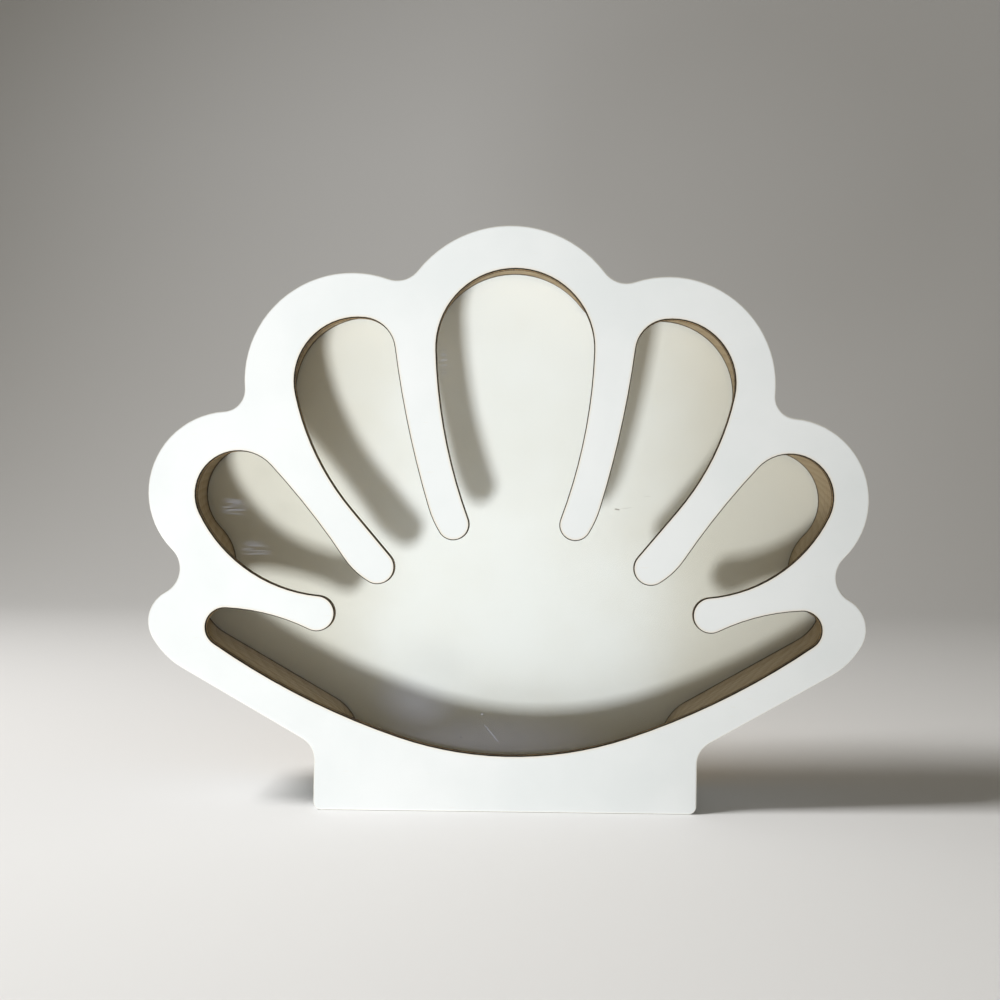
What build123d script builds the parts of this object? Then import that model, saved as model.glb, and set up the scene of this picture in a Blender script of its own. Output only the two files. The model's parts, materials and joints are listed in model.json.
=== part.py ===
from build123d import *
from collections import namedtuple
from math import atan2, cos, hypot, pi, radians, sin, sqrt
import os

# Seashell display case: a free-standing shell-shaped shadow box. A painted front panel with a
# shell window is glued on a deep wooden ring, a clear pane lies behind the window, and the
# back panel is held in the ring by magnets and pulls straight off.
#
# Millimetres. X runs to the right as seen from the front, Y from the front to the back, Z up.
# The origin is on the foot's underside, half way across the foot and half way through the depth.

# The outline of the case, right half, from the foot up. The left half mirrors it.
foot_half_width = 80.0
foot_corner_radius = 3.3
foot_fillet_height = 21.0
foot_fillet_radius = 10.0
wing_x = 136.0
wing_z = 78.0
wing_radius = 14.0
wing_shoulder_radius = 34.0
wing_shoulder_angle = -30.0
low_valley_radius = 11.0
side_lobe_x = 116.5
side_lobe_z = 132.0
side_lobe_radius = 34.0
middle_valley_radius = 9.0
upper_lobe_x = 66.0
upper_lobe_z = 179.5
upper_lobe_radius = 45.0
top_valley_radius = 11.0
top_lobe_z = 195.5
top_lobe_radius = 49.5

# The window in the front panel, right half, from the bottom up
window_shift = 2.4  # the whole window is cut this far to the right of the outline's middle
window_turn = 0.4  # and is turned this many degrees anticlockwise, seen from the front
window_turn_z = 122.0
bowl_bottom_z = 23.5
bowl_bottom_radius = 150.0
bowl_side_radius = 310.0
wing_gap_x = 120.5
wing_gap_z = 76.5
wing_gap_radius = 8.0
low_finger_x = 82.3
low_finger_z = 82.5
low_finger_radius = 7.5
low_finger_under_radius = 88.0
low_finger_over_radius = 61.0
side_petal_x = 115.0
side_petal_z = 132.0
side_petal_radius = 18.0
side_petal_under_radius = 325.0
middle_finger_x = 57.1
middle_finger_z = 102.0
middle_finger_radius = 7.2
middle_finger_root_radius = 33.0
middle_finger_root_angle = -59.0
upper_petal_x = 65.5
upper_petal_z = 179.5
upper_petal_radius = 26.5
upper_petal_outer_radius = 110.0
upper_petal_outer_angle = -12.0
upper_petal_inner_radius = 14.0
upper_petal_inner_angle = 96.0
inner_finger_side_radius = 420.0
inner_finger_x = 25.5
inner_finger_z = 120.0
inner_finger_radius = 6.7
inner_finger_root_radius = 43.0
inner_finger_root_angle = -32.0
centre_petal_z = 193.7
centre_petal_radius = 33.0
centre_petal_side_radius = 224.0

# Thicknesses through the depth
front_panel_thickness = 3.0
pane_thickness = 2.0
pane_depth_gap = 0.2  # the pane touches the front panel and leaves this behind it
board_thickness = 19.0  # the ring is two such boards, one behind the other
back_panel_thickness = 4.0
back_seat_gap = 0.1
arris_radius = 0.8  # the outer edges of the front panel and of the rear board are eased

# Widths across the ring
wall = 12.0
front_lip = 6.0
pane_edge_gap = 0.3
back_lip = 4.0
back_edge_gap = 0.4
thumb_notch_radius = 10.0

# Dowels between the two boards, and magnets between the ring and the back panel
dowel_radius = 3.0
dowel_length = 20.0
dowel_radial_gap = 0.05
dowel_end_gap = 0.5
magnet_radius = 2.5
magnet_thickness = 2.0
magnet_radial_gap = 0.05
magnet_depth_gap = 0.05
foot_dowel_x = 40.0
side_dowel_angle = -25.0
upper_dowel_angle = 15.0
top_dowel_angle = 60.0
foot_magnet_x = 55.0
side_magnet_angle = 5.0
upper_magnet_angle = 50.0

# Depths of the layers
case_depth = front_panel_thickness + 2 * board_thickness
front = -case_depth / 2
ring_front = front + front_panel_thickness
ring_joint = ring_front + board_thickness
back = ring_joint + board_thickness
pane_back = ring_front + pane_thickness
pane_floor = pane_back + pane_depth_gap
back_panel_front = back - back_panel_thickness
back_floor = back_panel_front - back_seat_gap

# An outline is a loop of arcs that touch, or are joined by straight stretches that touch both.
# Turn is 1 where the path bends left and -1 where it bends right.
Arc = namedtuple("Arc", "x z radius turn")


def touching_arc(before, after, radius, turn):
    """The arc of this radius that touches the arc before it and the arc after it."""
    reach_before = abs(radius - before.radius) if before.turn == turn else radius + before.radius
    reach_after = abs(radius - after.radius) if after.turn == turn else radius + after.radius
    span_x = after.x - before.x
    span_z = after.z - before.z
    span = hypot(span_x, span_z)
    along = (reach_before**2 - reach_after**2 + span**2) / (2 * span)
    across = turn * sqrt(reach_before**2 - along**2)
    x = before.x + (span_x * along - span_z * across) / span
    z = before.z + (span_z * along + span_x * across) / span
    return Arc(x, z, radius, turn)


def shoulder(arc, radius, angle):
    """The arc of another radius that meets this one at the angle and bends the same way."""
    step = arc.radius - radius
    return Arc(arc.x + step * cos(radians(angle)), arc.z + step * sin(radians(angle)), radius, arc.turn)


def mirrored(arcs):
    """The whole loop from its right half. Arcs on the middle line stay single."""
    return arcs + [Arc(-arc.x, arc.z, arc.radius, arc.turn) for arc in reversed(arcs) if arc.x != 0]


def straight_ends(before, after):
    """Where the path leaves one arc and where it reaches the next: one point if they touch."""
    touch_tolerance = 0.01
    offset = before.turn * before.radius - after.turn * after.radius
    span_x = after.x - before.x
    span_z = after.z - before.z
    length = sqrt(max(span_x**2 + span_z**2 - offset**2, 0.0))
    heading = atan2(span_z, span_x) + atan2(offset, length)
    ends = []
    for arc in (before, after):
        reach = arc.turn * arc.radius
        ends.append(Vector(arc.x + reach * sin(heading), arc.z - reach * cos(heading)))
    return [ends[0], ends[0]] if length < touch_tolerance else ends


def face_of(arcs):
    """The flat face inside a loop of arcs."""
    joints = [straight_ends(arc, arcs[(i + 1) % len(arcs)]) for i, arc in enumerate(arcs)]
    edges = []
    for i, arc in enumerate(arcs):
        start = joints[i - 1][1]
        end, next_start = joints[i]
        start_angle = atan2(start.Y - arc.z, start.X - arc.x)
        end_angle = atan2(end.Y - arc.z, end.X - arc.x)
        sweep = arc.turn * ((arc.turn * (end_angle - start_angle)) % (2 * pi))
        middle_angle = start_angle + sweep / 2
        middle = Vector(arc.x + arc.radius * cos(middle_angle), arc.z + arc.radius * sin(middle_angle))
        edges.append(Edge.make_three_point_arc(start, middle, end))
        if next_start is not end:
            edges.append(Edge.make_line(end, next_start))
    return make_face(edges)


def shell_outline():
    """The outer arcs of the right half, with the lobes that other pieces are placed on."""
    foot_corner = Arc(foot_half_width - foot_corner_radius, foot_corner_radius, foot_corner_radius, 1)
    foot_fillet = Arc(foot_half_width + foot_fillet_radius, foot_fillet_height, foot_fillet_radius, -1)
    wing = Arc(wing_x, wing_z, wing_radius, 1)
    wing_shoulder = shoulder(wing, wing_shoulder_radius, wing_shoulder_angle)
    side_lobe = Arc(side_lobe_x, side_lobe_z, side_lobe_radius, 1)
    upper_lobe = Arc(upper_lobe_x, upper_lobe_z, upper_lobe_radius, 1)
    top_lobe = Arc(0.0, top_lobe_z, top_lobe_radius, 1)
    right_half = [
        foot_corner,
        foot_fillet,
        wing_shoulder,
        wing,
        touching_arc(wing, side_lobe, low_valley_radius, -1),
        side_lobe,
        touching_arc(side_lobe, upper_lobe, middle_valley_radius, -1),
        upper_lobe,
        touching_arc(upper_lobe, top_lobe, top_valley_radius, -1),
        top_lobe,
    ]
    return right_half, side_lobe, upper_lobe, top_lobe


def window_outline():
    """The arcs of the window's right half: the bowl, three fingers and the petals between them."""
    bottom = Arc(0.0, bowl_bottom_z + bowl_bottom_radius, bowl_bottom_radius, 1)
    wing_gap = Arc(wing_gap_x, wing_gap_z, wing_gap_radius, 1)
    low_finger = Arc(low_finger_x, low_finger_z, low_finger_radius, -1)
    side_petal = Arc(side_petal_x, side_petal_z, side_petal_radius, 1)
    middle_finger = Arc(middle_finger_x, middle_finger_z, middle_finger_radius, -1)
    middle_root = shoulder(middle_finger, middle_finger_root_radius, middle_finger_root_angle)
    upper_petal = Arc(upper_petal_x, upper_petal_z, upper_petal_radius, 1)
    upper_outer = shoulder(upper_petal, upper_petal_outer_radius, upper_petal_outer_angle)
    upper_inner = shoulder(upper_petal, upper_petal_inner_radius, upper_petal_inner_angle)
    inner_finger = Arc(inner_finger_x, inner_finger_z, inner_finger_radius, -1)
    inner_root = shoulder(inner_finger, inner_finger_root_radius, inner_finger_root_angle)
    centre_petal = Arc(0.0, centre_petal_z, centre_petal_radius, 1)
    return [
        bottom,
        touching_arc(bottom, wing_gap, bowl_side_radius, 1),
        wing_gap,
        touching_arc(wing_gap, low_finger, low_finger_under_radius, 1),
        low_finger,
        touching_arc(low_finger, side_petal, low_finger_over_radius, 1),
        side_petal,
        touching_arc(side_petal, middle_root, side_petal_under_radius, 1),
        middle_root,
        middle_finger,
        upper_outer,
        upper_petal,
        upper_inner,
        touching_arc(upper_inner, inner_root, inner_finger_side_radius, -1),
        inner_root,
        inner_finger,
        touching_arc(inner_finger, centre_petal, centre_petal_side_radius, 1),
        centre_petal,
    ]


def inset(face, distance):
    """The face drawn in from its edge by the same distance all round."""
    return offset(face, amount=-distance, kind=Kind.INTERSECTION)


def slab(face, near, far):
    """A plate of the face, from the depth near to the depth far."""
    return extrude(Plane.XZ.offset(-near) * face, amount=near - far)


def pins(places, radius, near, far):
    """Round pins through the depth at the given places, as separate solids."""
    return [slab(Pos(x, z) * Circle(radius), near, far) for x, z in places]


def on_lobe(lobe, angle, distance):
    """The place this far inside the outline, at the angle round one of its lobes."""
    reach = lobe.radius - distance
    return lobe.x + reach * cos(radians(angle)), lobe.z + reach * sin(radians(angle))


def both_sides(places):
    """The places and their mirror images."""
    return places + [(-x, z) for x, z in places]


def eased(plate, depth):
    """The plate with its outer edge eased on the face at this depth."""
    rim = plate.faces().sort_by(Axis.Y)[0 if depth < 0 else -1].outer_wire().edges()
    return fillet(rim, arris_radius)


outline_arcs, side_lobe, upper_lobe, top_lobe = shell_outline()
case_face = face_of(mirrored(outline_arcs))
cavity_face = inset(case_face, wall)

# Front panel: the window with its six fingers is cut right through
window_place = Pos(window_shift, window_turn_z) * Rot(0, 0, window_turn) * Pos(0, -window_turn_z)
window_face = window_place * face_of(mirrored(window_outline()))
front_panel = eased(slab(case_face, front, ring_front), front) - slab(window_face, front, ring_front)

# Clear pane, in a rebate round the front of the ring, against the back of the front panel
clear_pane = slab(inset(case_face, front_lip + pane_edge_gap), ring_front, pane_back)

# Dowels, in the middle of the wall, half in each board
dowel_inset = wall / 2
dowel_places = both_sides(
    [
        (foot_dowel_x, dowel_inset),
        on_lobe(side_lobe, side_dowel_angle, dowel_inset),
        on_lobe(upper_lobe, upper_dowel_angle, dowel_inset),
        on_lobe(top_lobe, top_dowel_angle, dowel_inset),
    ]
)
dowel_near = ring_joint - dowel_length / 2
dowel_far = ring_joint + dowel_length / 2
ring_dowels = pins(dowel_places, dowel_radius, dowel_near, dowel_far)
dowel_bores = pins(
    dowel_places,
    dowel_radius + dowel_radial_gap,
    dowel_near - dowel_end_gap,
    dowel_far + dowel_end_gap,
)

# Magnets, in the middle of the strip where the back panel overlaps the ring's ledge
magnet_inset = (back_lip + back_edge_gap + wall) / 2
magnet_places = [(0.0, top_lobe_z + top_lobe_radius - magnet_inset)] + both_sides(
    [
        (foot_magnet_x, magnet_inset),
        on_lobe(side_lobe, side_magnet_angle, magnet_inset),
        on_lobe(upper_lobe, upper_magnet_angle, magnet_inset),
    ]
)
pocket_radius = magnet_radius + magnet_radial_gap
pocket_depth = magnet_thickness + magnet_depth_gap
body_magnets = pins(magnet_places, magnet_radius, back_floor - magnet_thickness, back_floor)
body_pockets = pins(magnet_places, pocket_radius, back_floor - pocket_depth, back_floor)
panel_magnets = pins(magnet_places, magnet_radius, back_panel_front, back_panel_front + magnet_thickness)
panel_pockets = pins(magnet_places, pocket_radius, back_panel_front, back_panel_front + pocket_depth)

# Ring: a front board with the pane's rebate and a rear board with the back panel's rebate
front_board = slab(case_face, ring_front, ring_joint) - slab(cavity_face, ring_front, ring_joint)
front_board -= slab(inset(case_face, front_lip), ring_front, pane_floor)
front_board -= dowel_bores
rear_board = eased(slab(case_face, ring_joint, back), back) - slab(cavity_face, ring_joint, back)
rear_board -= slab(inset(case_face, back_lip), back_floor, back)
rear_board -= dowel_bores + body_pockets

# Back panel, flush with the back of the ring, with a thumb notch in its lower edge
back_panel_edge = back_lip + back_edge_gap
back_panel_face = inset(case_face, back_panel_edge) - Pos(0, back_panel_edge) * Circle(thumb_notch_radius)
back_panel = slab(back_panel_face, back_panel_front, back) - panel_pockets

pieces = {
    "front_panel": [front_panel],
    "clear_pane": [clear_pane],
    "ring_front_board": [front_board],
    "ring_rear_board": [rear_board],
    "ring_dowels": ring_dowels,
    "ring_magnets": body_magnets,
    "back_panel": [back_panel],
    "back_panel_magnets": panel_magnets,
}

os.makedirs("parts", exist_ok=True)
for name, shapes in pieces.items():
    solids = [solid for shape in shapes for solid in shape.solids()]
    export_step(Compound(children=solids, label=name), f"parts/{name}.step")
    print(name, len(solids), "solids", round(sum(solid.volume for solid in solids)), "mm3")
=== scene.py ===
import json
from math import cos, pi, radians, sin

import bmesh
import bpy
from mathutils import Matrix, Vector

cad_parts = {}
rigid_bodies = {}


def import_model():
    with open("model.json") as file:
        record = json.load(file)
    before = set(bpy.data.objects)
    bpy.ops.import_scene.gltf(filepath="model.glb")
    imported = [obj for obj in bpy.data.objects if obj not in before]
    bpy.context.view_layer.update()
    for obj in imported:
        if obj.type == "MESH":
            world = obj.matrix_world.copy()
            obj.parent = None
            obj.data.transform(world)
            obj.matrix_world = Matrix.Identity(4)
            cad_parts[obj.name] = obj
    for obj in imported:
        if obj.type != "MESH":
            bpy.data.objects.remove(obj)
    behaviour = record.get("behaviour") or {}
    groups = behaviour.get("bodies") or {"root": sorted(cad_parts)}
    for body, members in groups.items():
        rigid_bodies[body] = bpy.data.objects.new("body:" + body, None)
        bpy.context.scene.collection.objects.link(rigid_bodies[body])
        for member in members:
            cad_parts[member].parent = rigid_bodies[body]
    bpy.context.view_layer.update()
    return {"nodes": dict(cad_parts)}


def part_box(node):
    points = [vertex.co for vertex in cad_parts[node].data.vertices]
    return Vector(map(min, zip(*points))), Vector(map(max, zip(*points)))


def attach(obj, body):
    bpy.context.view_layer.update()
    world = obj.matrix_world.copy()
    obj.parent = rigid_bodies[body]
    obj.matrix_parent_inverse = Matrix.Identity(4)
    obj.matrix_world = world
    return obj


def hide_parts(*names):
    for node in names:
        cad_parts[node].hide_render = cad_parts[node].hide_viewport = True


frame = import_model()
print("frame loaded:", ", ".join(sorted(frame["nodes"])))

mm = 0.001  # metres
squareOn = 0.9  # the share of a normal along one axis from which a face counts as square to it
level = 0.9999  # the share from which it counts as flat
near = 0.05 * mm  # how close to a plane a corner counts as on it
caseArris = 0.8 * mm  # the rounded outer edges of the case, front and back
arrisCuts = 3  # edges between the two rims of a rounded edge
doubles = 0.002 * mm  # corners this close are one
smoothBelow = 38  # degrees between two faces that are shaded as one
aroundArris = 60  # degrees between two faces of a strip that runs round the arrises


def rgb(red, green, blue):
    # a screen colour, 0 to 255, as the linear colour that a shader takes
    shares = [value / 255 for value in (red, green, blue)]
    return tuple(s / 12.92 if s <= 0.04045 else ((s + 0.055) / 1.055) ** 2.4 for s in shares) + (1.0,)


class Wire:
    # one output of a node; a sum written on it adds a Math node
    def __init__(self, finish, socket):
        self.finish = finish
        self.socket = socket

    def maths(self, operation, first, second=0.0):
        return self.finish.node("Math", {"operation": operation}, {0: first, 1: second})

    def __add__(self, other):
        return self.maths("ADD", self, other)

    def __sub__(self, other):
        return self.maths("SUBTRACT", self, other)

    def __rsub__(self, other):
        return self.maths("SUBTRACT", other, self)

    def __mul__(self, other):
        return self.maths("MULTIPLY", self, other)

    def __truediv__(self, other):
        return self.maths("DIVIDE", self, other)

    def __pow__(self, other):
        return self.maths("POWER", self, other)

    def __abs__(self):
        return self.maths("ABSOLUTE", self)

    def __or__(self, other):
        return self.maths("MAXIMUM", self, other)

    __radd__ = __add__
    __rmul__ = __mul__


class Finish:
    # a material with one Principled shader
    def __init__(self, name):
        self.material = bpy.data.materials.new(name)
        self.material.use_nodes = True
        self.tree = self.material.node_tree
        self.tree.nodes.clear()
        self.place = self.node("TexCoord", out="Object")

    def node(self, kind, settings=None, sockets=None, out=0):
        made = self.tree.nodes.new("ShaderNode" + kind)
        for name, value in (settings or {}).items():
            setattr(made, name, value)
        for name, value in (sockets or {}).items():
            if isinstance(value, Wire):
                self.tree.links.new(value.socket, made.inputs[name])
            else:
                made.inputs[name].default_value = value
        return Wire(self, made.outputs[out]) if made.outputs else made

    def axis(self, letter, place=None):
        return self.node("SeparateXYZ", sockets={0: place or self.place}, out=letter)

    def noise(self, size, detail=3.0, place=None, offset=(0.0, 0.0, 0.0)):
        # soft random patches of this size along x, y and z, in metres; values from 0 to 1
        scale = [1 / side for side in size]
        sockets = {"Vector": place or self.place, "Location": offset, "Scale": scale}
        scaled = self.node("Mapping", sockets=sockets)
        return self.node("TexNoise", sockets={"Vector": scaled, "Scale": 1.0, "Detail": detail})

    def rise(self, value, low, high):
        # 0 below low, 1 above high, smooth between them
        return self.node("MapRange", {"interpolation_type": "SMOOTHSTEP"}, {0: value, 1: low, 2: high})

    def mix(self, factor, first, second):
        return self.node("Mix", {"data_type": "RGBA"}, {0: factor, 6: first, 7: second}, out=2)

    def bump(self, height, depth, under=None):
        # raises the surface by up to this depth, in metres
        sockets = {"Height": height, "Distance": depth}
        if under is not None:
            sockets["Normal"] = under
        return self.node("Bump", sockets=sockets)

    def mark(self, spot):
        # a stroke on a face square to y, in mm: 1 along its middle, 0 past its ends and sides
        sockets = {
            "Vector": self.place,
            "Location": (spot["x"] * mm, 0.0, spot["z"] * mm),
            "Rotation": (0.0, radians(spot["turn"]), 0.0),
            "Scale": (spot["length"] * mm / 2, 1.0, spot["width"] * mm / 2),
        }
        own = self.node("Mapping", {"vector_type": "TEXTURE"}, sockets)
        along = self.rise(1 - abs(self.axis("X", own)), 0.0, spot["fade"])
        across = self.rise(1 - abs(self.axis("Z", own)), 0.0, 1.0)
        return along * across

    def surface(self, **sockets):
        # sockets are the Principled shader's, with underscores for spaces
        named = {name.replace("_", " "): value for name, value in sockets.items()}
        shader = self.node("BsdfPrincipled", sockets=named)
        self.node("OutputMaterial", sockets={"Surface": shader})
        return self.material


def workOn(piece):
    # makes this the only selected piece
    bpy.ops.object.select_all(action="DESELECT")
    piece.select_set(True)
    bpy.context.view_layer.objects.active = piece


def copyOfNode(node, name):
    # a merged copy of a CAD node's mesh, left in edit mode
    piece = bpy.data.objects.new(name, frame["nodes"][node].data.copy())
    bpy.context.scene.collection.objects.link(piece)
    piece.data.materials.clear()
    workOn(piece)
    bpy.ops.mesh.customdata_custom_splitnormals_clear()
    bpy.ops.object.mode_set(mode="EDIT")
    bpy.ops.mesh.select_all(action="SELECT")
    bpy.ops.mesh.remove_doubles(threshold=doubles)
    bpy.ops.mesh.normals_make_consistent(inside=False)
    return piece


def selectFaces(piece, wanted):
    bpy.ops.mesh.select_mode(type="FACE")
    bpy.ops.mesh.select_all(action="DESELECT")
    shape = bmesh.from_edit_mesh(piece.data)
    for face in shape.faces:
        face.select_set(wanted(face))
    bmesh.update_edit_mesh(piece.data)


def selectFlat(piece, depth):
    # the faces square to y at this depth
    selectFaces(piece, lambda face: abs(face.normal.y) > level and abs(face.verts[0].co.y - depth) < near)


def selectStrip(piece, start):
    # the strip of faces that grows from the start faces up to the next sharp edges
    selectFaces(piece, start)
    bpy.ops.mesh.faces_select_linked_flat(sharpness=radians(aroundArris))


def selectRim(piece, depth, slots):
    # the square edges at this depth whose two faces have these slots
    bpy.ops.mesh.select_mode(type="EDGE")
    bpy.ops.mesh.select_all(action="DESELECT")
    shape = bmesh.from_edit_mesh(piece.data)
    for edge in shape.edges:
        atDepth = all(abs(vertex.co.y - depth) < near for vertex in edge.verts)
        flat = [face for face in edge.link_faces if abs(face.normal.y) > squareOn]
        indexes = sorted(face.material_index for face in edge.link_faces)
        if atDepth and len(flat) == 1 and indexes == sorted(slots):
            edge.select_set(True)
    bmesh.update_edit_mesh(piece.data)


def giveSlot(piece, index):
    # the selected faces take the material in this slot
    piece.active_material_index = index
    bpy.ops.object.material_slot_assign()


def breakEdge(piece, depth, facing, slots, width, slopeSlot, beside=0.0):
    # strips all round the flat faces at this depth, and a slope of 45 degrees where two slots meet
    selectFlat(piece, depth)
    bpy.ops.mesh.inset(thickness=width)
    if beside:
        bpy.ops.mesh.inset(thickness=beside)
    selectRim(piece, depth, slots)
    bpy.ops.transform.translate(value=(0.0, -facing * width, 0.0))
    shape = bmesh.from_edit_mesh(piece.data)
    slopes = {face for edge in shape.edges if edge.select for face in edge.link_faces}
    bpy.ops.mesh.select_mode(type="FACE")
    bpy.ops.mesh.select_all(action="DESELECT")
    for face in slopes:
        face.select_set(0.5 < abs(face.normal.y) < squareOn)
    bmesh.update_edit_mesh(piece.data)
    giveSlot(piece, slopeSlot)


def evenArris(piece, depth, facing, arris):
    # the rounded outer edge at this depth, built anew with even facets
    def rounded(face):
        depths = [facing * corner.co.y for corner in face.verts]
        return min(depths) > facing * depth - arris - near and max(depths) - min(depths) > doubles / 2

    selectFaces(piece, rounded)
    bpy.ops.mesh.delete(type="FACE")
    bpy.ops.mesh.select_mode(type="EDGE")
    bpy.ops.mesh.select_all(action="DESELECT")
    bpy.ops.mesh.select_non_manifold()
    bpy.ops.mesh.bridge_edge_loops(number_cuts=arrisCuts, interpolation="LINEAR")
    bpy.ops.object.mode_set(mode="OBJECT")
    moves = []
    for corner in piece.data.vertices:
        down = (depth - corner.co.y) * facing / arris
        if 0.01 < down < 0.99:
            turned = down * pi / 2
            out = Vector((corner.normal.x, 0, corner.normal.z)).normalized()
            lift = Vector((0, facing * (down - 1 + cos(turned)), 0))
            moves.append((corner, arris * (out * (sin(turned) - down) + lift)))
    for corner, move in moves:
        corner.co += move
    bpy.ops.object.mode_set(mode="EDIT")


def finishPiece(piece, node, body):
    # smooth arrises, level flat faces, and the piece rides in its node's place
    bpy.ops.object.mode_set(mode="OBJECT")
    workOn(piece)
    bpy.ops.object.shade_smooth_by_angle(angle=radians(smoothBelow))
    even = piece.modifiers.new("evenShading", "WEIGHTED_NORMAL")
    even.keep_sharp = True
    bpy.ops.object.modifier_apply(modifier=even.name)
    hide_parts(node)
    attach(piece, body)
    print(piece.name, len(piece.data.polygons), "faces")


def underside(face):
    # the flat that the case stands on
    return face.normal.z < -squareOn and face.verts[0].co.z < near


whitePaintLook = {
    "colour": rgb(227, 230, 230),
    "patch": rgb(221, 225, 225),
    "thin": rgb(232, 226, 210),  # on an arris, where the wood warms the paint
    "smoke": rgb(222, 210, 188),  # beside the burnt cut
    "patchSize": 38 * mm,
    "grainSize": (26 * mm, 26 * mm, 0.55 * mm),
    "grainDepth": 0.02 * mm,
    "rollerSize": 0.7 * mm,
    "rollerDepth": 0.012 * mm,
    "nickSize": (9 * mm, 4 * mm, 0.9 * mm),
}


def whitePaint(name):
    look = whitePaintLook
    paint = Finish(name)
    patches = paint.noise([look["patchSize"]] * 3, detail=4.0)
    grain = paint.noise(look["grainSize"], detail=4.0)
    roller = paint.noise([look["rollerSize"]] * 3, detail=2.0)
    nicks = paint.rise(paint.noise(look["nickSize"], detail=1.0, offset=(3.1, 0.0, 7.4)), 0.735, 0.79)
    facing = abs(paint.axis("Y", paint.node("TexCoord", out="Normal")))
    arris = 4 * facing * (1 - facing)
    smoke = paint.node("Attribute", {"attribute_name": "smoke"}, out="Fac")
    colour = paint.mix(paint.rise(patches, 0.3, 0.75), look["colour"], look["patch"])
    colour = paint.mix(arris * (0.25 + 0.55 * patches), colour, look["thin"])
    colour = paint.mix((nicks * 0.16) | (smoke**3.0 * (0.35 + 0.7 * patches)), colour, look["smoke"])
    normal = paint.bump(grain, look["grainDepth"])
    normal = paint.bump(roller, look["rollerDepth"], normal)
    roughness = 0.44 + 0.12 * patches + 0.1 * roller
    return paint.surface(Base_Color=colour, Roughness=roughness, Normal=normal)


burntCutLook = {
    "wood": rgb(150, 124, 86),
    "scorched": rgb(92, 72, 46),
    "char": rgb(14, 10, 6),
    "streakSize": (0.35 * mm, 12 * mm, 0.35 * mm),  # the beam's marks run through the sheet
    "patchSize": 14 * mm,
    "streakDepth": 0.03 * mm,
}


def burntCut(front, back):
    look = burntCutLook
    cut = Finish("burntCut")
    depth = (cut.axis("Y") - front) / (back - front)
    fromMiddle = abs(depth * 2 - 1)
    streaks = cut.noise(look["streakSize"], detail=2.0)
    patches = cut.noise([look["patchSize"]] * 3, detail=3.0)
    scorch = cut.rise(streaks * 0.6 + patches * 0.7, 0.45, 0.85)
    colour = cut.mix(scorch, look["wood"], look["scorched"])
    charred = cut.rise(fromMiddle + 0.3 * streaks, 0.62, 0.95)
    colour = cut.mix(charred, colour, look["char"])
    normal = cut.bump(streaks, look["streakDepth"])
    return cut.surface(Base_Color=colour, Roughness=0.86 - 0.2 * charred, Normal=normal)


charLook = {"char": rgb(9, 7, 5), "ash": rgb(38, 31, 22), "grit": 0.5 * mm, "gritDepth": 0.05 * mm}


def charEdge():
    look = charLook
    char = Finish("charEdge")
    grit = char.noise([look["grit"]] * 3, detail=3.0)
    wide = char.noise([20 * look["grit"]] * 3, detail=2.0)
    colour = char.mix(char.rise(grit * 0.5 + wide * 0.5, 0.45, 0.75), look["char"], look["ash"])
    normal = char.bump(grit, look["gritDepth"])
    return char.surface(Base_Color=colour, Roughness=0.8 + 0.15 * grit, Normal=normal)


birchBackLook = {
    "early": rgb(206, 184, 146),
    "late": rgb(186, 160, 118),
    "pore": rgb(140, 110, 72),
    "waver": (120 * mm, 30 * mm, 34 * mm),
    "waverDepth": 7 * mm,
    "figureSize": (150 * mm, 20 * mm, 4.2 * mm),
    "fibreSize": (16 * mm, 1 * mm, 0.3 * mm),
    "poreSize": (3.4 * mm, 1 * mm, 0.2 * mm),
    "fibreDepth": 0.02 * mm,
}


def birchVeneer(name):
    # a peeled sheet with its grain along x
    look = birchBackLook
    birch = Finish(name)
    waver = birch.noise(look["waver"], detail=3.0) * look["waverDepth"]
    lift = birch.node("CombineXYZ", sockets={"Z": waver})
    place = birch.node("VectorMath", {"operation": "ADD"}, {0: birch.place, 1: lift})
    figure = birch.noise(look["figureSize"], detail=2.0, place=place)
    fibre = birch.noise(look["fibreSize"], detail=3.0, place=place)
    pores = birch.rise(birch.noise(look["poreSize"], detail=1.0, place=place), 0.66, 0.78)
    colour = birch.mix(birch.rise(figure, 0.35, 0.68) * 0.7 + fibre * 0.35, look["early"], look["late"])
    colour = birch.mix(pores * 0.45, colour, look["pore"])
    normal = birch.bump(fibre, look["fibreDepth"])
    return birch.surface(Base_Color=colour, Roughness=0.58 + 0.2 * fibre, Normal=normal)


frontPanelLook = {
    "charWidth": 0.38 * mm,  # burnt edge all round the window
    "smokeWidth": 1.8 * mm,  # stained paint beside it
}


def frontPanel():
    look = frontPanelLook
    painted, cut, char, bare = range(4)
    low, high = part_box("front_panel")
    piece = copyOfNode("front_panel", "shellFrontPanel")
    paint = whitePaint("whitePanelPaint")
    for finish in (paint, burntCut(low.y, high.y), charEdge(), birchVeneer("panelBack")):
        piece.data.materials.append(finish)
    evenArris(piece, low.y, -1, caseArris)
    selectFaces(piece, lambda face: abs(face.normal.y) < squareOn)
    giveSlot(piece, cut)
    selectStrip(piece, underside)
    giveSlot(piece, painted)
    selectFaces(piece, lambda face: face.normal.y > squareOn)
    giveSlot(piece, bare)
    breakEdge(piece, low.y, -1, (painted, cut), look["charWidth"], char, look["smokeWidth"])
    bpy.ops.object.mode_set(mode="OBJECT")
    smoke = piece.data.attributes.new("smoke", "FLOAT", "POINT")
    for face in piece.data.polygons:
        if face.material_index == char:
            for corner in face.vertices:
                smoke.data[corner].value = 1.0
    finishPiece(piece, "front_panel", "case")


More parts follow.
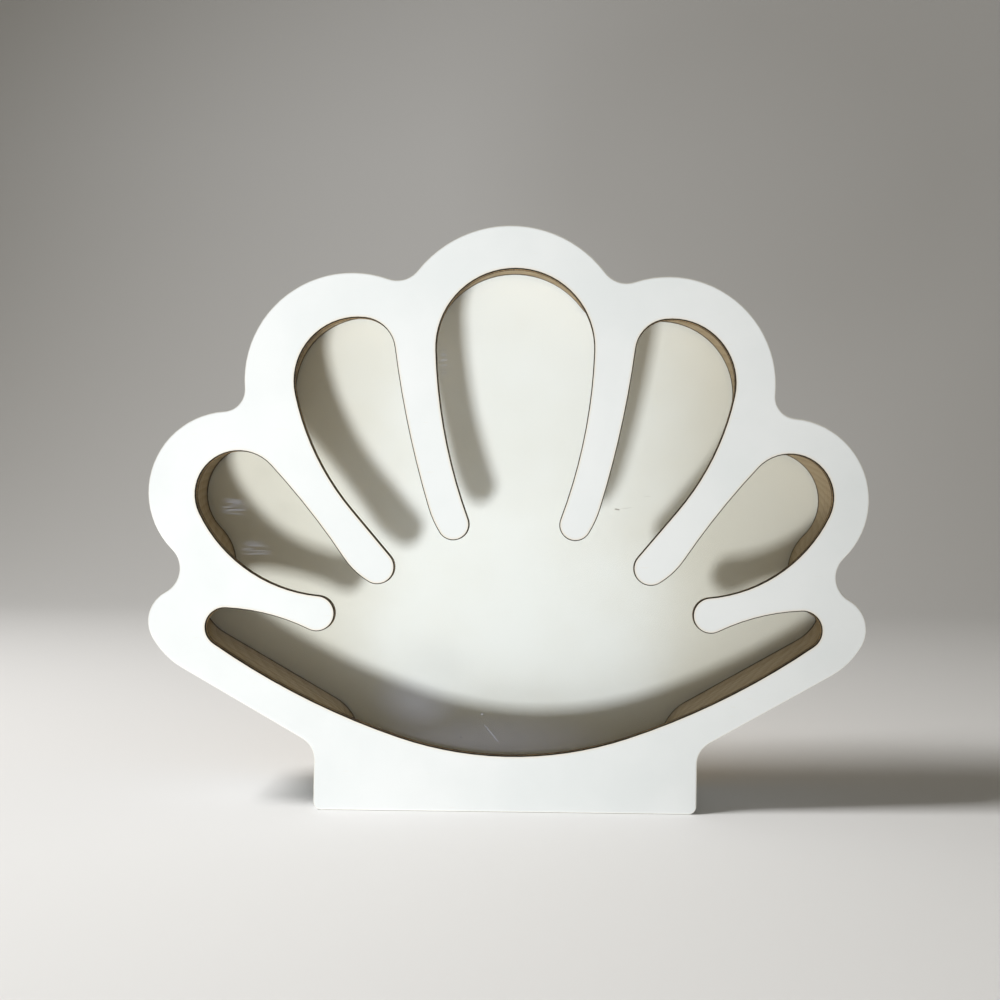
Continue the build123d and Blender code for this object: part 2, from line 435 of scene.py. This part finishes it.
ringWoodLook = {
    "early": rgb(178, 161, 132),
    "late": rgb(157, 139, 108),
    "pore": rgb(110, 88, 58),
    "heartY": 70 * mm,  # the middle of the tree lies outside the board, along x
    "heartZ": -90 * mm,
    "ringGap": 3.4 * mm,
    "waver": (90 * mm, 22 * mm, 22 * mm),
    "waverDepth": 5 * mm,
    "poreSize": (5 * mm, 0.22 * mm, 0.22 * mm),
    "layerSize": (70 * mm, 0.8 * mm, 70 * mm),  # streaks level with the board's faces
    "toneSize": 30 * mm,
    "sawSize": (0.9 * mm, 30 * mm, 0.9 * mm),
    "sawDepth": 0.03 * mm,
    "scorchAndShade": rgb(44, 32, 20),
    "scorchAndShadeDepth": 3 * mm,  # how far the dark band at the back of the wall reaches forward: partly a scorched edge, partly painted shade of the corner and the gap at the back board
}


def ringWood(name, scorchAndShadeEdge=None):
    # sawn wood with its growth rings round a line along x, so that the ring's sides show end grain
    look = ringWoodLook
    wood = Finish(name)
    waver = wood.noise(look["waver"]) * look["waverDepth"]
    sideways = wood.axis("Y") - look["heartY"]
    upwards = wood.axis("Z") - look["heartZ"]
    radius = (sideways**2.0 + upwards**2.0) ** 0.5 + waver
    years = radius / look["ringGap"]
    ring = years.maths("FRACT", years)
    pores = wood.rise(wood.noise(look["poreSize"], detail=1.0), 0.62, 0.76)
    layers = wood.rise(wood.noise(look["layerSize"], detail=2.0), 0.42, 0.68)
    saw = wood.noise(look["sawSize"])
    tone = wood.noise([look["toneSize"]] * 3)
    colour = wood.mix(wood.rise(ring, 0.3, 0.95) * 0.5 + tone * 0.4, look["early"], look["late"])
    colour = wood.mix(pores * 0.3 + 0.12 * saw + layers * 0.35, colour, look["pore"])
    # a dark band along the back of the inner wall: partly a scorched edge, partly painted shade where the
    # wall meets the back board
    if scorchAndShadeEdge is not None:
        reach = wood.noise([look["toneSize"]] * 3, offset=(5.0, 2.0, 8.0)) * look["scorchAndShadeDepth"]
        scorchAndShade = 1 - wood.rise(scorchAndShadeEdge - wood.axis("Y") - reach, 0.0, 0.5 * look["scorchAndShadeDepth"])
        colour = wood.mix(scorchAndShade * 0.85, colour, look["scorchAndShade"])
    normal = wood.bump(saw, look["sawDepth"])
    return wood.surface(Base_Color=colour, Roughness=0.72 + 0.14 * saw, Normal=normal)


ringLook = {
    "wallDepth": 12 * mm,
    "seam": 0.15 * mm,  # half the hairline groove where two layers meet
    "innerArris": 0.5 * mm,  # broken edge at the back of the inner wall
    "rimArris": 0.3 * mm,  # broken edge of the rim round the back panel
}


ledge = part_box("ring_magnets")[1].y  # where the back panel seats


def innerWall(face):
    # a wall that the holes for dowels and magnets are too shallow for
    depths = [corner.co.y for corner in face.verts]
    return face.material_index == 0 and max(depths) - min(depths) > ringLook["wallDepth"]


def ringBoard(node, name, finishes):
    look = ringLook
    raw, painted, inner = range(3)
    low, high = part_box(node)
    piece = copyOfNode(node, name)
    for finish in finishes:
        piece.data.materials.append(finish)
    if node == "ring_rear_board":
        evenArris(piece, high.y, 1, caseArris)
    selectStrip(piece, underside)
    giveSlot(piece, painted)
    selectFaces(piece, lambda face: abs(face.normal.y) > level)
    giveSlot(piece, raw)
    selectFaces(piece, innerWall)
    giveSlot(piece, inner)
    breakEdge(piece, low.y, -1, (raw, painted), look["seam"], painted)
    if node == "ring_rear_board":
        breakEdge(piece, ledge, 1, (raw, inner), look["innerArris"], inner)
        breakEdge(piece, high.y, 1, (raw, painted), look["rimArris"], painted)
    else:
        breakEdge(piece, high.y, 1, (raw, painted), look["seam"], painted)
    finishPiece(piece, node, "case")


creamBoardLook = {
    "colour": rgb(237, 242, 240),
    "patch": rgb(233, 237, 233),
    "sideTone": rgb(218, 218, 206),  # darker and creamier towards both sides
    "sideToneFrom": 52 * mm,
    "sideToneTo": 112 * mm,
    "sideToneWaver": 30 * mm,
    "scuff": rgb(120, 112, 98),
    "patchSize": 45 * mm,
    "fibreSize": (7 * mm, 7 * mm, 0.6 * mm),
    "fibreDepth": 0.015 * mm,
    "marks": [  # in mm
        {"x": 47.4, "z": 127.1, "length": 3.0, "width": 1.1, "turn": 8, "fade": 0.6, "dark": 0.8},
        {"x": 51.5, "z": 127.7, "length": 7.5, "width": 0.5, "turn": -8, "fade": 0.9, "dark": 0.3},
        {"x": 61.0, "z": 133.2, "length": 5.0, "width": 0.5, "turn": 0, "fade": 0.9, "dark": 0.25},
    ],
}


def creamBoard():
    look = creamBoardLook
    board = Finish("creamBoard")
    patches = board.noise([look["patchSize"]] * 3, detail=4.0)
    fibres = board.noise(look["fibreSize"])
    colour = board.mix(board.rise(patches, 0.3, 0.75), look["colour"], look["patch"])
    aside = abs(board.axis("X")) + look["sideToneWaver"] * patches
    sideTone = board.rise(aside, look["sideToneFrom"], look["sideToneTo"])
    colour = board.mix(sideTone * 0.9, colour, look["sideTone"])
    for spot in look["marks"]:
        colour = board.mix(board.mark(spot) * spot["dark"], colour, look["scuff"])
    normal = board.bump(fibres, look["fibreDepth"])
    return board.surface(Base_Color=colour, Roughness=0.5 + 0.12 * fibres, Normal=normal)


plyEdgeLook = {
    "plies": 3,
    "long": rgb(205, 180, 138),
    "end": rgb(160, 126, 84),
    "glue": rgb(92, 66, 40),
    "fibreSize": (0.5 * mm, 0.12 * mm, 0.5 * mm),
    "fibreDepth": 0.03 * mm,
}


def plyEdge(front, back):
    # the sawn edge of plywood: plies of alternate grain with dark glue lines between them
    look = plyEdgeLook
    edge = Finish("plyEdge")
    layer = (edge.axis("Y") - front) / (back - front) * look["plies"]
    fibres = edge.noise(look["fibreSize"])
    middle = 1 - edge.rise(abs(layer - look["plies"] / 2), 0.45, 0.55)
    within = layer.maths("FRACT", layer)
    glue = 1 - edge.rise(0.5 - abs(within - 0.5), 0.02, 0.1)
    colour = edge.mix(middle * 0.8 + fibres * 0.3, look["long"], look["end"])
    colour = edge.mix(glue * 0.7, colour, look["glue"])
    normal = edge.bump(fibres, look["fibreDepth"])
    return edge.surface(Base_Color=colour, Roughness=0.75 + 0.15 * fibres, Normal=normal)


backPanelLook = {"arris": 0.25 * mm}


def backPanel():
    look = backPanelLook
    inside, outside, edge = range(3)
    low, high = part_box("back_panel")
    piece = copyOfNode("back_panel", "shellBackPanel")
    for finish in (creamBoard(), birchVeneer("backVeneer"), plyEdge(low.y, high.y)):
        piece.data.materials.append(finish)
    bpy.ops.mesh.select_all(action="SELECT")
    giveSlot(piece, edge)
    for side, depth in ((inside, low.y), (outside, high.y)):
        selectFlat(piece, depth)
        giveSlot(piece, side)
    breakEdge(piece, high.y, 1, (outside, edge), look["arris"], edge)
    finishPiece(piece, "back_panel", "back")


paneLook = {
    "film": rgb(250, 252, 252),
    # bluish, for the painted reflection in the two big patches; the scratches, spots and smudges take it
    # too
    "mark": rgb(202, 210, 238),
    "mirror": 0.011,  # what one face mirrors when seen square on
    "sheen": 0.9,  # what it mirrors besides at a glancing angle
    "filmRoughness": 0.03,
    "hazeRoughness": 0.45,
    "marks": [  # in mm
        {"x": -6.0, "z": 32.0, "length": 12.6, "width": 0.9, "turn": 49.8, "fade": 0.5, "hazeAndReflection": 0.3},
        {"x": -10.2, "z": 40.2, "length": 1.6, "width": 1.2, "turn": 0, "fade": 0.9, "hazeAndReflection": 0.3},
        {"x": -18.9, "z": 30.4, "length": 1.8, "width": 1.4, "turn": 0, "fade": 0.9, "hazeAndReflection": 0.25},
        # these two big soft patches are a painted reflection: a lighter, bluer tone over the shaded foot of
        # the bowl
        {"x": -38.0, "z": 44.0, "length": 50, "width": 32, "turn": 25, "fade": 1.0, "hazeAndReflection": 0.11},
        {"x": -8.0, "z": 29.0, "length": 140, "width": 30, "turn": 0, "fade": 1.0, "hazeAndReflection": 0.1},
    ],
    "smudges": [  # in mm
        {"x": -115, "z": 126, "length": 15, "width": 11, "turn": 3, "fade": 0.9, "hazeAndReflection": 0.2},
        {"x": -106, "z": 108, "length": 17, "width": 10, "turn": 8, "fade": 0.9, "hazeAndReflection": 0.17},
        {"x": -28.3, "z": 188, "length": 5, "width": 18, "turn": 0, "fade": 0.9, "hazeAndReflection": 0.12},
    ],
    "smudgeStreak": (14 * mm, 9 * mm, 1.1 * mm),
}


def clearAcrylic():
    # clear sheet: a thin mirror film, hazy marks on its front face, and two soft bluish patches that are a
    # painted reflection
    look = paneLook
    low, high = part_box("clear_pane")
    pane = Finish("clearAcrylic")
    frontFace = 1 - pane.rise(pane.axis("Y"), low.y + near, (low.y + high.y) / 2)
    streaks = pane.rise(pane.noise(look["smudgeStreak"], detail=1.0), 0.4, 0.62)
    hazeAndReflection = pane.mark(look["marks"][0]) * look["marks"][0]["hazeAndReflection"]
    for spot in look["marks"][1:]:
        hazeAndReflection = hazeAndReflection | (pane.mark(spot) * spot["hazeAndReflection"])
    for spot in look["smudges"]:
        hazeAndReflection = hazeAndReflection | (pane.mark(spot) * streaks * spot["hazeAndReflection"])
    hazeAndReflection = hazeAndReflection * frontFace
    slant = pane.node("LayerWeight", sockets={"Blend": 0.5}, out="Facing")
    film = look["mirror"] + look["sheen"] * slant**5.0
    clear = 1 - pane.rise(hazeAndReflection, 0.0, 0.03)
    colour = pane.mix(clear, look["mark"], look["film"])
    roughness = look["hazeRoughness"] - (look["hazeRoughness"] - look["filmRoughness"]) * clear
    return pane.surface(Base_Color=colour, Metallic=clear, Roughness=roughness, Alpha=film | hazeAndReflection)


nickelLook = {
    "metal": rgb(196, 192, 184),
    "worn": rgb(150, 144, 134),
    "scratchSize": (2.4 * mm, 0.5 * mm, 0.12 * mm),
    "scratchDepth": 0.01 * mm,
    "patchSize": 2 * mm,
}


def nickel():
    look = nickelLook
    metal = Finish("magnetNickel")
    scratches = metal.rise(metal.noise(look["scratchSize"], detail=2.0), 0.5, 0.75)
    patches = metal.noise([look["patchSize"]] * 3)
    colour = metal.mix(patches * 0.6, look["metal"], look["worn"])
    normal = metal.bump(scratches, look["scratchDepth"])
    roughness = 0.22 + 0.15 * scratches + 0.1 * patches
    return metal.surface(Base_Color=colour, Metallic=1.0, Roughness=roughness, Normal=normal)


dowelLook = {
    "light": rgb(208, 172, 130),
    "dark": rgb(176, 136, 94),
    "fleck": rgb(126, 88, 56),
    "grainSize": (0.5 * mm, 14 * mm, 0.5 * mm),
    "fleckSize": (0.15 * mm, 2 * mm, 0.15 * mm),
    "grainDepth": 0.03 * mm,
}


def beech():
    look = dowelLook
    wood = Finish("dowelBeech")
    grain = wood.noise(look["grainSize"])
    flecks = wood.rise(wood.noise(look["fleckSize"], detail=1.0), 0.6, 0.72)
    colour = wood.mix(wood.rise(grain, 0.35, 0.65), look["light"], look["dark"])
    colour = wood.mix(flecks * 0.5, colour, look["fleck"])
    normal = wood.bump(grain, look["grainDepth"])
    return wood.surface(Base_Color=colour, Roughness=0.6 + 0.15 * grain, Normal=normal)


def finishNode(node, finish):
    for slot in frame["nodes"][node].material_slots:
        slot.material = finish


frontPanel()
wood = ringWood("ringWood")
paint = whitePaint("whiteRingPaint")
ringBoard("ring_front_board", "shellRingFront", (wood, paint, wood))
# the rear board's inner wall takes the dark band of scorch and painted corner shade at its back
ringBoard("ring_rear_board", "shellRingRear", (wood, paint, ringWood("ringScorchedAndShaded", ledge)))
backPanel()
finishNode("clear_pane", clearAcrylic())
finishNode("ring_dowels", beech())
metal = nickel()
finishNode("ring_magnets", metal)
finishNode("back_panel_magnets", metal)
print("case finished")


studio = {
    "floorColour": rgb(212, 213, 215),
    "floorWidth": 9.0,
    "floorFront": -4.0,
    "sweepPlace": 1.7,  # where the floor turns up into the backdrop
    "sweepHeight": 3.5,
    "sweepRadius": 0.9,
    "sweepSteps": 24,
    "worldColour": rgb(239, 229, 207),
    "worldStrength": 0.235,
}

keyLook = {  # low on the left, so that the bowl's lower edge throws its shadow up
    "place": (-0.17, -0.655, -0.182),
    "aim": (-0.085, -0.02, 0.36),
    "size": (0.11, 0.13),
    "spread": 89,  # a gridded lamp, so that its light falls off to the right
    "power": 1.5,
    "colour": (0.975, 0.985, 1.0),
}

floorLampLook = {
    "place": (-0.85, -0.25, 1.1),
    "aim": (0.0, 0.0, 0.12),
    "size": (0.35, 0.35),
    "spread": 180,
    "power": 22.0,
    "colour": (1.0, 0.98, 0.95),
}

backLampLook = {  # a fill for the back of the case alone
    "place": (0.35, 0.75, 1.25),
    "aim": (0.0, 0.0, 0.12),
    "size": (0.6, 0.6),
    "spread": 180,
    "power": 18.0,
    "colour": (1.0, 0.99, 0.96),
}


def lamp(name, look):
    made = bpy.data.lights.new(name, "AREA")
    made.shape = "RECTANGLE"
    made.size, made.size_y = look["size"]
    made.energy = look["power"]
    made.color = look["colour"]
    made.spread = radians(look["spread"])
    holder = bpy.data.objects.new(name, made)
    bpy.context.scene.collection.objects.link(holder)
    holder.location = look["place"]
    holder.rotation_mode = "QUATERNION"
    holder.rotation_quaternion = (Vector(look["aim"]) - Vector(look["place"])).to_track_quat("-Z", "Y")
    holder.visible_camera = False
    holder.visible_glossy = False
    return holder


def studioFloor():
    bpy.ops.object.select_all(action="DESELECT")
    middle = (studio["floorFront"] + studio["sweepPlace"]) / 2
    bpy.ops.mesh.primitive_plane_add(size=1.0, location=(0.0, middle, 0.0))
    floor = bpy.context.object
    floor.name = "studioFloor"
    bpy.ops.object.mode_set(mode="EDIT")
    bpy.ops.transform.resize(value=(studio["floorWidth"], studio["sweepPlace"] - studio["floorFront"], 1.0))
    bpy.ops.mesh.select_mode(type="EDGE")
    bpy.ops.mesh.select_all(action="DESELECT")
    shape = bmesh.from_edit_mesh(floor.data)
    for edge in shape.edges:
        edge.select_set(all(vertex.co.y > 0 for vertex in edge.verts))
    bmesh.update_edit_mesh(floor.data)
    bpy.ops.mesh.extrude_region_move(TRANSFORM_OT_translate={"value": (0.0, 0.0, studio["sweepHeight"])})
    bpy.ops.mesh.select_all(action="DESELECT")
    shape = bmesh.from_edit_mesh(floor.data)
    for edge in shape.edges:
        edge.select_set(len(edge.link_faces) == 2)
    bmesh.update_edit_mesh(floor.data)
    bpy.ops.mesh.bevel(offset=studio["sweepRadius"], segments=studio["sweepSteps"], affect="EDGES")
    bpy.ops.object.mode_set(mode="OBJECT")
    bpy.ops.object.transform_apply(location=True, rotation=True, scale=True)
    bpy.ops.object.shade_smooth()
    matte = Finish("studioMatte")
    floor.data.materials.append(matte.surface(Base_Color=studio["floorColour"], Roughness=0.9))
    floor.visible_shadow = False  # the key light stands lower than the floor
    return floor


floor = studioFloor()
lamp("keyLight", keyLook)
floorLamp = lamp("floorLamp", floorLampLook)
backLamp = lamp("backLamp", backLampLook)
caseOnly = bpy.data.collections.new("caseOnly")
for thing in bpy.context.scene.objects:
    if thing.type == "MESH" and thing != floor:
        caseOnly.objects.link(thing)
backLamp.light_linking.receiver_collection = caseOnly
floorOnly = bpy.data.collections.new("floorOnly")
floorOnly.objects.link(floor)
floorLamp.light_linking.receiver_collection = floorOnly

world = bpy.data.worlds.new("studioWorld")
world.use_nodes = True
sky = world.node_tree.nodes["Background"]
sky.inputs["Color"].default_value = studio["worldColour"]
sky.inputs["Strength"].default_value = studio["worldStrength"]
bpy.context.scene.world = world
bpy.context.scene.view_settings.view_transform = "Standard"
print("studio lit")


view = {
    "place": (21.4 * mm, -429.3 * mm, 124.9 * mm),  # level with the middle of the case, looking along y
    "lens": 35.3,
    "shift": (-0.0599, 0.0135),
    "roll": -0.75,
}

eye = bpy.data.cameras.new("eye")
eye.lens = view["lens"]
eye.shift_x, eye.shift_y = view["shift"]
eye.clip_start = 10 * mm
camera = bpy.data.objects.new("eye", eye)
bpy.context.scene.collection.objects.link(camera)
camera.location = view["place"]
camera.rotation_euler = (radians(90), radians(view["roll"]), 0.0)
bpy.context.scene.camera = camera
print("camera set")
